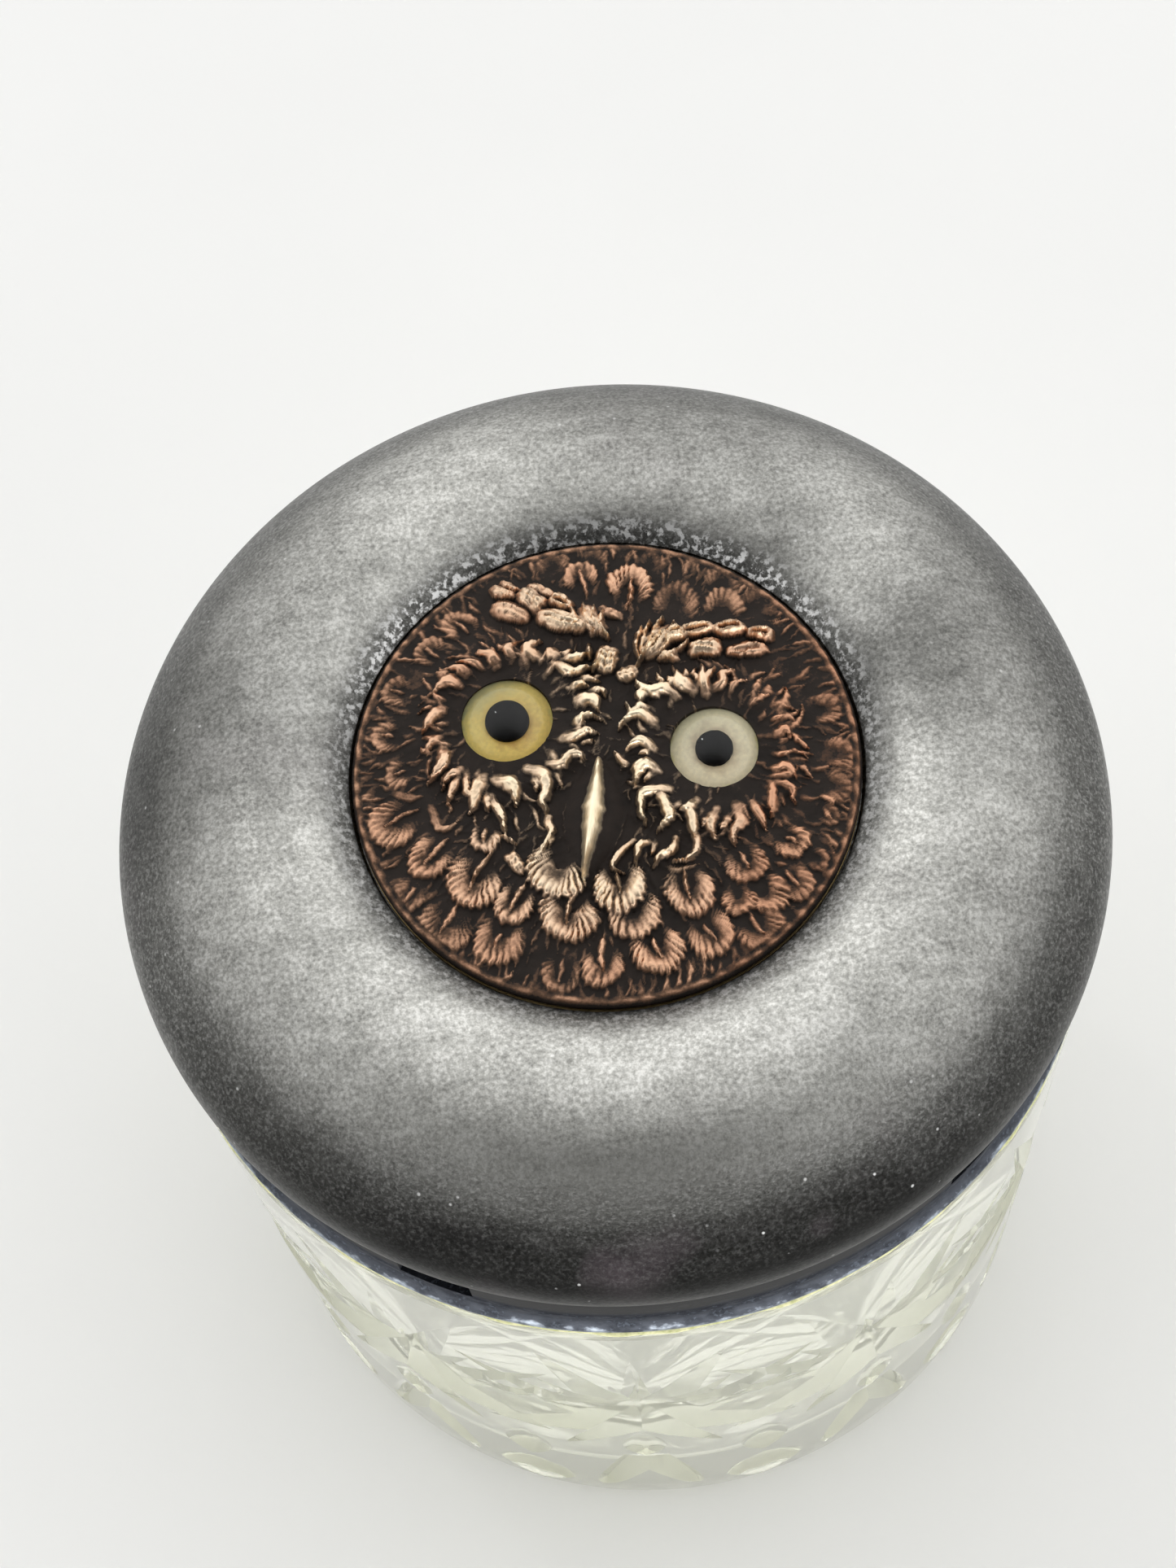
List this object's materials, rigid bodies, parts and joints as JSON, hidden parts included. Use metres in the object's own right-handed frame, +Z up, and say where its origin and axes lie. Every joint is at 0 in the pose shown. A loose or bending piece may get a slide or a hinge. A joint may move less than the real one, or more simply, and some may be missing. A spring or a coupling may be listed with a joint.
{
  "type": "vanity jar",
  "caption": "Covered cut-glass dressing-table jar; its domed metal lid turns to lock, lifts off, and carries an owl-face medallion with glass eyes.",
  "frame": {"origin": "centre of the flat base, on the surface the jar stands on", "axes": "+Z up through the jar and lid; -Y towards the viewer, the side of the owl's chin; +X to the viewer's right"},
  "size_m": [0.0728, 0.0728, 0.0855],
  "materials": {
    "clear_glass": "polished, cut with mitred stars, faint yellow-green tint",
    "collar_metal": "bluish grey, tarnished, bright lower lip",
    "cement": "matt, uneven",
    "pewter": "satin, aged, darker at the rim",
    "sleeve_metal": "satin",
    "solder": "dull",
    "liner_metal": "spun, satin",
    "cork": "matt cork",
    "copper": "copper with a dark brown patina in the hollows",
    "pitch": "matt",
    "brass_plate": "satin",
    "eye_glass": "polished dome",
    "iris_yellow": "painted, greener at the edge",
    "iris_cream": "painted, faded",
    "black_glass": "polished black",
    "iron_wire": "dull"
  },
  "bodies": {
    "jar": {"glass_jar": "clear_glass", "collar_ring": "collar_metal", "collar_cement": "cement"},
    "seal": {"seal_washer": "cork"},
    "lid": {"lid_shell": "pewter", "lid_sleeve": "sleeve_metal", "sleeve_solder": "solder", "lid_liner": "liner_metal", "medallion_face": "copper", "medallion_filler": "pitch", "medallion_back": "brass_plate", "medallion_tabs": "brass_plate", "left_eye_cornea": "eye_glass", "right_eye_cornea": "eye_glass", "left_eye_iris": "iris_yellow", "right_eye_iris": "iris_cream", "left_eye_pupil": "black_glass", "right_eye_pupil": "black_glass", "left_eye_wire": "iron_wire", "right_eye_wire": "iron_wire"}
  },
  "joints": [
    {"name": "lid_lift", "type": "slide", "parent": "jar", "child": "seal", "axis": [0, 0, 1], "range_m": [0, 0.045]},
    {"name": "lid_turn", "type": "hinge", "parent": "seal", "child": "lid", "pos_m": [0, 0, 0.0755], "axis": [0, 0, -1], "range_deg": [0, 25]}
  ]
}
